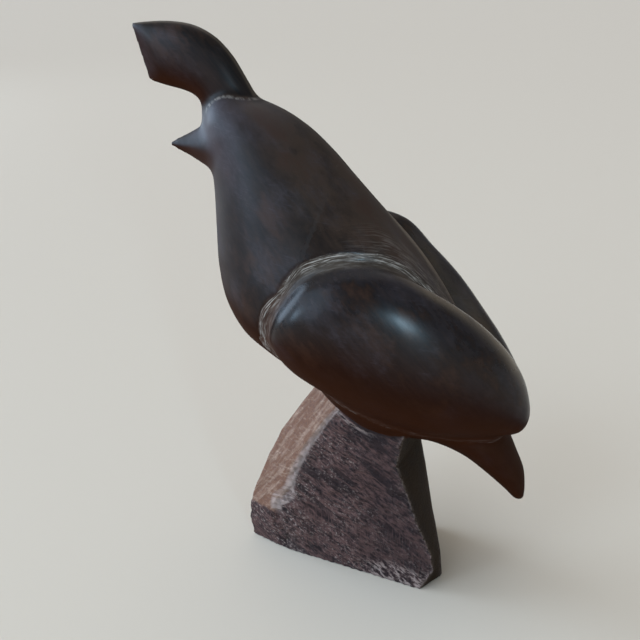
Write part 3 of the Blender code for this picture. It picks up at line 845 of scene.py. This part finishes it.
def wood_finish(colours):
    """Near-black polished wood with painted shade, sheen and highlights, scored grey in the grooves, raw and
    dusty on the base.
    """
    material = bpy.data.materials.new("carved_dark_wood")
    material.use_nodes = True
    web = Web(material.node_tree)
    smooth, mix = web.smooth, web.mix
    place = web.node("ShaderNodeTexCoord", {}, {}, "Object")
    level = web.node("ShaderNodeSeparateXYZ", {}, {0: place}, 2)
    raw, gap, across, fade, turn = map(
        web.read, ("raw", "wing_gap", "groove_across", "groove_fade", "wing_turn"))
    plume, underside = web.read("plume_side"), web.read("underside")

    # The polished bird
    streaks = web.grain(place, GRAIN, (0.011, 0.001, 0.0014), 1.0, 3.0, 0.6)
    patches = web.grain(place, GRAIN, (0.015, 0.0075, 0.01), 5.3, 5.0, 0.62)
    clouds = web.grain(place, GRAIN, (0.018, 0.01, 0.012), 8.1, 4.0, 0.6)
    specks = web.grain(place, GRAIN, (0.0024, 0.0009, 0.001), 11.0, 2.0, 0.6)
    sanding = web.grain(place, SANDING, (0.005, 0.00032, 0.002), 12.0, 2.0, 0.5)
    upper = web.read("upper") * smooth(plume, 0.001, 0.0)
    # painted reflection: faces that turn back and up, off the wings, are painted browner, a warm reflection
    back_reflection_mask = upper * smooth(gap, 0.0004, 0.004) * (0.45 + 0.55 * smooth(patches, 0.38, 0.56))
    head = smooth(plume, -0.014, -0.003) * (1.0 - smooth(plume, -0.0008, 0.0002))
    end = smooth(web.read("plume_end"), -0.0045, -0.0015) * smooth(plume, 0.0, 0.002)
    grit = 0.4 + 0.6 * smooth(specks, 0.35, 0.7)
    # haze_and_sheen: grey in cloudy patches where the polish is worn, and painted sheen over the head, the
    # plume's cut end and the upward faces beside the wings
    haze_and_sheen = (smooth(clouds, 0.46, 0.72) * grit + head * (0.45 + 0.5 * smooth(clouds, 0.4, 0.6))
            + 0.9 * end * grit + 0.4 * upper * smooth(gap, 0.0012, 0.0002) * smooth(patches, 0.6, 0.44))
    scuffs = smooth(sanding, 0.58, 0.7) * smooth(clouds, 0.4, 0.62)
    # painted highlight along the plume's lit crest
    crest = 1.0 - smooth(web.math("ABSOLUTE", web.read("crest")), 0.0001, 0.0007)
    # the wings' upper rims: partly worn, partly painted highlight
    rim = web.read("wing_rim_wear_and_highlight") * (0.5 + 0.5 * smooth(patches, 0.35, 0.6))
    rim = 0.8 * rim + 0.3 * crest * smooth(plume, 0.0, 0.001)

    # File marks along the grooves round the wings, and at the root of the plume; the groove floor's colour,
    # with a painted warm reflection at its front; and painted shade in the crease under each wing
    lines = web.noise(web.triple(turn / 0.13, gap / 0.00028, 0.0), 14.0, 2.0, 0.6)
    wear = web.noise(web.triple(turn / 0.26, gap / 0.0022, 0.0), 16.0, 3.0, 0.6)
    band = fade * smooth(gap, 0.0001, 0.0009) * (1.0 - smooth(across, 0.86, 0.99))
    bundle = smooth(across, 0.3, 0.68) * smooth(turn, 2.7, 1.7)
    beside = 0.3 * smooth(gap, 0.011, 0.005) * smooth(across, 0.9, 1.0) * smooth(turn, 0.7, 1.3)
    scored = band * (0.15 + 0.85 * bundle) + beside * smooth(turn, 2.9, 2.2)
    scored = scored * smooth(lines, 0.46, 0.62) * smooth(wear, 0.32, 0.54)
    root = 1.0 - smooth(web.math("ABSOLUTE", plume + 0.0003), 0.0001, 0.0007)
    root = root * smooth(specks, 0.38, 0.62) * smooth(level, 0.151, 0.1545)
    # filed groove floor; redder at the front and below, a painted warm reflection
    floor = mix(smooth(turn, -0.1, 0.5), colours.groove_front_and_reflection, colours.groove_floor)
    # painted shade in the crease under each wing
    crease = smooth(gap, 0.0035, 0.0012) * smooth(gap, 0.0, 0.0004)
    crease = crease * smooth(turn, -0.2, -0.8) * smooth(turn, -2.9, -2.3)

    # What is laid over what, how rough it is and how it stands up
    base, base_relief = raw_wood(web, colours, place, level)
    colour = web.layers(
        mix(0.7 * smooth(streaks, 0.35, 0.68), colours.dark_grain, colours.brown_grain),
        # painted warm reflection on the neck and back
        (0.8 * back_reflection_mask, colours.back_reflection),
        (0.75 * smooth(patches, 0.5, 0.68), colours.red_patches),
        # worn polish and painted sheen
        (0.6 * haze_and_sheen + 0.3 * scuffs, colours.haze_and_sheen),
        # painted shade and painted warm reflection: the undersides and the tail darker and redder
        (0.9 * underside, colours.underside_shade),
        # worn rims with a painted highlight
        (rim, colours.worn_rim_and_highlight),
        (band * (0.3 + 0.5 * smooth(wear, 0.3, 0.6)), floor),
        (0.9 * scored + 0.3 * root, colours.scratches),
        # painted shade in the crease under each wing
        (0.8 * crease, colours.underside_shade),
        (raw, base))
    inner = 0.25 * web.read("back") + 0.2 * smooth(web.read("both_wings"), 0.019, 0.012)
    gloss = (0.19 + 0.1 * patches + 0.12 * haze_and_sheen + 0.12 * smooth(gap, 0.006, 0.014)
             + inner * smooth(gap, 0.0002, 0.001)
             + 0.1 * scored + 0.12 * root + 0.3 * underside + 0.3 * crease)
    rough = gloss * (1.0 - raw) + 0.86 * raw
    height = 0.00001 * streaks * (1.0 - raw) + 0.00005 * scored + 0.00006 * root + raw * base_relief
    bump = web.node("ShaderNodeBump", {}, {"Strength": 1.0, "Distance": 1.0, "Height": height})
    shader = web.tree.nodes["Principled BSDF"]
    for name, value in {"Base Color": colour, "Roughness": rough, "Normal": bump}.items():
        web.tree.links.new(value.socket, shader.inputs[name])
    shader.inputs["IOR"].default_value = 1.28

    # The undersides, where the polish is dull
    dull = web.node("ShaderNodeBsdfPrincipled", {}, {"Base Color": colour, "Roughness": 0.6, "IOR": 1.08})
    dulled = (1.0 - raw) * (0.85 - 0.6 * head) * smooth(underside + crease, 0.2, 0.7)
    skin = web.node("ShaderNodeMixShader", {}, {0: dulled, 1: Value(web, shader.outputs[0]), 2: dull})
    web.tree.links.new(skin.socket, web.tree.nodes["Material Output"].inputs["Surface"])
    return material


def plain_finish(name, colour, roughness):
    """One even colour."""
    material = bpy.data.materials.new(name)
    material.use_nodes = True
    shader = material.node_tree.nodes["Principled BSDF"]
    shader.inputs["Base Color"].default_value = colour
    shader.inputs["Roughness"].default_value = roughness
    return material


def set_inputs(modifier, values):
    """Give a nodes modifier its named inputs, each by its socket's identifier."""
    for item in modifier.node_group.interface.items_tree:
        if item.in_out == "INPUT" and item.name in values:
            modifier[item.identifier] = values[item.name]


def made_real(thing):
    """Turn an object with live modifiers into a plain mesh."""
    bpy.context.view_layer.update()
    graph = bpy.context.evaluated_depsgraph_get()
    mesh = bpy.data.meshes.new_from_object(thing.evaluated_get(graph))
    thing.modifiers.clear()
    thing.data = mesh
    return thing


def colour_setting(name, description, colour):
    """A colour that the maker can change."""
    return FloatVectorProperty(name=name, description=description, default=(*colour, 1.0),
                               subtype="COLOR", size=4, min=0.0, max=1.0)


def length_setting(name, description, length):
    """A length that the maker can change, in metres."""
    return FloatProperty(name=name, description=description, default=length, min=0.0,
                         precision=5, unit="LENGTH")


def light_setting(name, description, strength, unit="NONE"):
    """A light's strength that the maker can change."""
    return FloatProperty(name=name, description=description, default=strength, unit=unit)


# Wide lights far off: azimuth, elevation and width in the sky, in degrees, and colour
WIDE_LIGHTS = {
    "ceiling": (130.0, 64.0, 80.0, (1.0, 0.97, 0.93)),
    "window": (168.0, 19.0, 40.0, (0.58, 0.77, 1.0)),
    "glow": (220.0, 16.0, 66.0, (0.62, 0.79, 1.0)),
}
WIDE_LIGHT_DISTANCE = 3.0

# Near lights: azimuth and elevation in degrees, distance, width and height in metres, and colour
NEAR_LIGHTS = {
    "pane": (219.0, 10.0, 0.8, 0.18, 0.18, (0.52, 0.76, 1.0)),
    "sill": (148.0, 2.0, 1.6, 0.44, 0.28, (0.66, 0.82, 1.0)),
    "lamp": (-66.0, 6.0, 1.2, 0.07, 0.1, (0.5, 0.79, 1.0)),
}
BREAST_HEIGHT = 0.1
FLOOR_REACH = 12.0
FLOOR_ROUGHNESS = 0.95
CAMERA_PLACE = (0.0194, -0.2609, 0.1924)
CAMERA_TURN = (math.radians(68.0), 0.0, math.radians(6.0))
CAMERA_ANGLE = math.radians(40.0)


def add_light(scene, name, kind, azimuth, elevation, distance, settings):
    """A light, seen from the bird's breast at an azimuth and elevation, and turned to it."""
    light = bpy.data.lights.new(name, kind)
    for setting, value in settings.items():
        setattr(light, setting, value)
    lamp = bpy.data.objects.new(name, light)
    turn, lift = math.radians(azimuth), math.radians(elevation)
    out = distance * math.cos(lift)
    lamp.location = (out * math.cos(turn), out * math.sin(turn), BREAST_HEIGHT + distance * math.sin(lift))
    lamp.rotation_euler = (math.radians(90.0) - lift, 0.0, turn + math.radians(90.0))
    lamp.visible_camera = False
    scene.collection.objects.link(lamp)


class QuailShape(PropertyGroup):
    """Sizes of the carving's form and of its tool marks."""

    mesh_step: length_setting("Mesh step", "Size of one face of the bird's skin", 0.00094)
    groove_width: length_setting("Groove width", "Width of the groove in front of each wing", 0.0048)
    groove_depth: length_setting("Groove depth", "Depth of the groove where it meets the wing", 0.0016)
    fibre_depth: length_setting("Fibre depth", "Depth of the splintered grain on the base", 0.0006)
    scallop_depth: length_setting("Scallop depth", "Depth of the saw marks on the base's front", 0.0003)
    chip_depth: length_setting("Chip depth", "Depth of the chips along the base's edges", 0.0015)
    waviness: length_setting("Waviness", "Unevenness that the hand leaves in the polished bird", 0.00012)
    seed: IntProperty(name="Seed", description="Which pattern of tool marks is used", default=7, min=0)


class QuailColours(PropertyGroup):
    """Colours of the wood, and of the shade, sheen and highlights painted into it."""

    dark_grain: colour_setting("Dark grain", "Darkest polished grain", (0.003, 0.0025, 0.003))
    brown_grain: colour_setting("Brown grain", "Browner polished grain", (0.014, 0.008, 0.006))
    red_patches: colour_setting("Red patches", "Reddish patches in the polished wood", (0.036, 0.017, 0.011))
    # Painted reflection: a warm reflection painted onto the neck and back where they face back and up
    back_reflection: colour_setting("Back", "Browner wood of the neck and the back", (0.044, 0.027, 0.019))
    # Painted shade: the undersides and the tail are painted darker and redder, a warm reflection from below
    underside_shade: colour_setting("Underside", "Redder wood of the undersides", (0.026, 0.006, 0.0012))
    # Partly worn wood, partly painted highlight along the wings' upper rims, the back's edge and the plume's
    # crest
    worn_rim_and_highlight: colour_setting("Worn rim", "Olive wood along the wings' upper rims", (0.15, 0.112, 0.078))
    # Partly worn polish, partly painted sheen on the head, the plume's cut end and upward faces beside the
    # wings
    haze_and_sheen: colour_setting("Haze", "Grey haze where the polish is worn", (0.044, 0.036, 0.042))
    groove_floor: colour_setting("Groove floor", "Filed wood above the wings", (0.066, 0.05, 0.038))
    # Filed wood, painted redder as a warm reflection at the groove's lower front
    groove_front_and_reflection: colour_setting("Groove front", "Filed wood before the wings", (0.085, 0.048, 0.036))
    scratches: colour_setting("Scratches", "File marks and scratches", (0.4, 0.35, 0.31))
    split_face: colour_setting("Split face", "Splintered wood of the base", (0.092, 0.048, 0.042))
    split_dark: colour_setting("Split dark", "Dark grain of the base", (0.012, 0.0065, 0.007))
    # Also painted as a highlight along the chamfer and along the ledge under the belly
    dust: colour_setting("Dust", "Pale crumbs and fibre ends", (0.33, 0.25, 0.22))
    front_face: colour_setting("Front face", "Sawn front face of the base", (0.15, 0.073, 0.046))
    front_streaks: colour_setting("Front streaks", "Paler saw marks on the front", (0.34, 0.23, 0.17))
    rear_face: colour_setting("Rear face", "Scooped rear of the base", (0.022, 0.01, 0.003))


class QuailStage(PropertyGroup):
    """Floor, light and camera."""

    floor_colour: colour_setting("Floor", "Colour of the floor", (0.64, 0.555, 0.455))
    room_colour: colour_setting("Room", "Colour of the light of the room", (0.95, 0.95, 0.95))
    room_strength: light_setting("Room light", "Strength of the room's even light", 0.33)
    ceiling_strength: light_setting("Ceiling", "Strength of the wide light above", 0.8)
    window_strength: light_setting("Window", "Strength of the window at the bird's front", 2.8)
    glow_strength: light_setting("Glow", "Strength of the wider light beside the window", 2.9)
    pane_power: light_setting("Pane", "Power of the small light low at the front", 1.2, "POWER")
    sill_power: light_setting("Sill", "Power of the wide light low behind the beak", 4.5, "POWER")
    lamp_power: light_setting("Lamp", "Power of the small light beside the camera", 4.8, "POWER")


class CarveQuail(Operator):
    """Carve the quail and its base in one piece, work its surface and give it its wood"""

    bl_idname = "quail.carve"
    bl_label = "Carve quail"

    def execute(self, context):
        shape = context.scene.quail_shape
        piece = bpy.data.objects.new("carved_quail", carve_mesh(shape))
        context.scene.collection.objects.link(piece)
        marks = piece.modifiers.new("tool_marks", "NODES")
        marks.node_group = tool_mark_tree()
        set_inputs(marks, {
            "Fibre Depth": shape.fibre_depth,
            "Scallop Depth": shape.scallop_depth,
            "Chip Depth": shape.chip_depth,
            "Waviness": shape.waviness,
            "Seed": float(shape.seed),
            "Finish": wood_finish(context.scene.quail_colours),
        })
        made_real(piece)
        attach(piece, "root")
        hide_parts("quail_carving")
        return {"FINISHED"}


class SetQuailStage(Operator):
    """Set up the pale floor, the soft light and the camera"""

    bl_idname = "quail.stage"
    bl_label = "Set stage"

    def execute(self, context):
        scene = context.scene
        stage = scene.quail_stage
        mesh = bpy.data.meshes.new("floor")
        corners = [(x * FLOOR_REACH, y * FLOOR_REACH, 0.0) for x, y in ((-1, -1), (1, -1), (1, 1), (-1, 1))]
        mesh.from_pydata(corners, [], [(0, 1, 2, 3)])
        floor = bpy.data.objects.new("floor", mesh)
        mesh.materials.append(plain_finish("pale_floor", stage.floor_colour, FLOOR_ROUGHNESS))
        scene.collection.objects.link(floor)

        world = bpy.data.worlds.new("studio")
        scene.world = world
        world.use_nodes = True
        room = world.node_tree.nodes["Background"]
        room.inputs["Color"].default_value = stage.room_colour
        room.inputs["Strength"].default_value = stage.room_strength

        for name, (azimuth, elevation, width, colour) in WIDE_LIGHTS.items():
            add_light(scene, name, "SUN", azimuth, elevation, WIDE_LIGHT_DISTANCE, {
                "energy": getattr(stage, name + "_strength"), "angle": math.radians(width), "color": colour})
        for name, (azimuth, elevation, distance, width, height, colour) in NEAR_LIGHTS.items():
            add_light(scene, name, "AREA", azimuth, elevation, distance, {
                "energy": getattr(stage, name + "_power"), "shape": "RECTANGLE",
                "size": width, "size_y": height, "color": colour})
        scene.view_settings.view_transform = "Standard"

        camera = bpy.data.cameras.new("camera")
        camera.angle = CAMERA_ANGLE
        camera.clip_start = 0.01
        view = bpy.data.objects.new("camera", camera)
        view.location = CAMERA_PLACE
        view.rotation_euler = CAMERA_TURN
        scene.collection.objects.link(view)
        scene.camera = view
        return {"FINISHED"}


class QuailPanel(Panel):
    """Sizes, colours and steps of the carving"""

    bl_idname = "VIEW3D_PT_quail"
    bl_label = "Carved quail"
    bl_space_type = "VIEW_3D"
    bl_region_type = "UI"
    bl_category = "Quail"

    def draw(self, context):
        for group in (context.scene.quail_shape, context.scene.quail_colours, context.scene.quail_stage):
            for name in group.__annotations__:
                self.layout.prop(group, name)
        for step in STEPS:
            self.layout.operator(step.bl_idname)


GROUPS = {"quail_shape": QuailShape, "quail_colours": QuailColours, "quail_stage": QuailStage}
STEPS = (CarveQuail, SetQuailStage)


def register():
    for made in (*GROUPS.values(), *STEPS, QuailPanel):
        bpy.utils.register_class(made)
    for name, group in GROUPS.items():
        setattr(bpy.types.Scene, name, PointerProperty(type=group))


def unregister():
    for name in GROUPS:
        delattr(bpy.types.Scene, name)
    for made in reversed((*GROUPS.values(), *STEPS, QuailPanel)):
        bpy.utils.unregister_class(made)


def main():
    register()
    bpy.ops.quail.carve()
    bpy.ops.quail.stage()


if __name__ == "__main__":
    main()
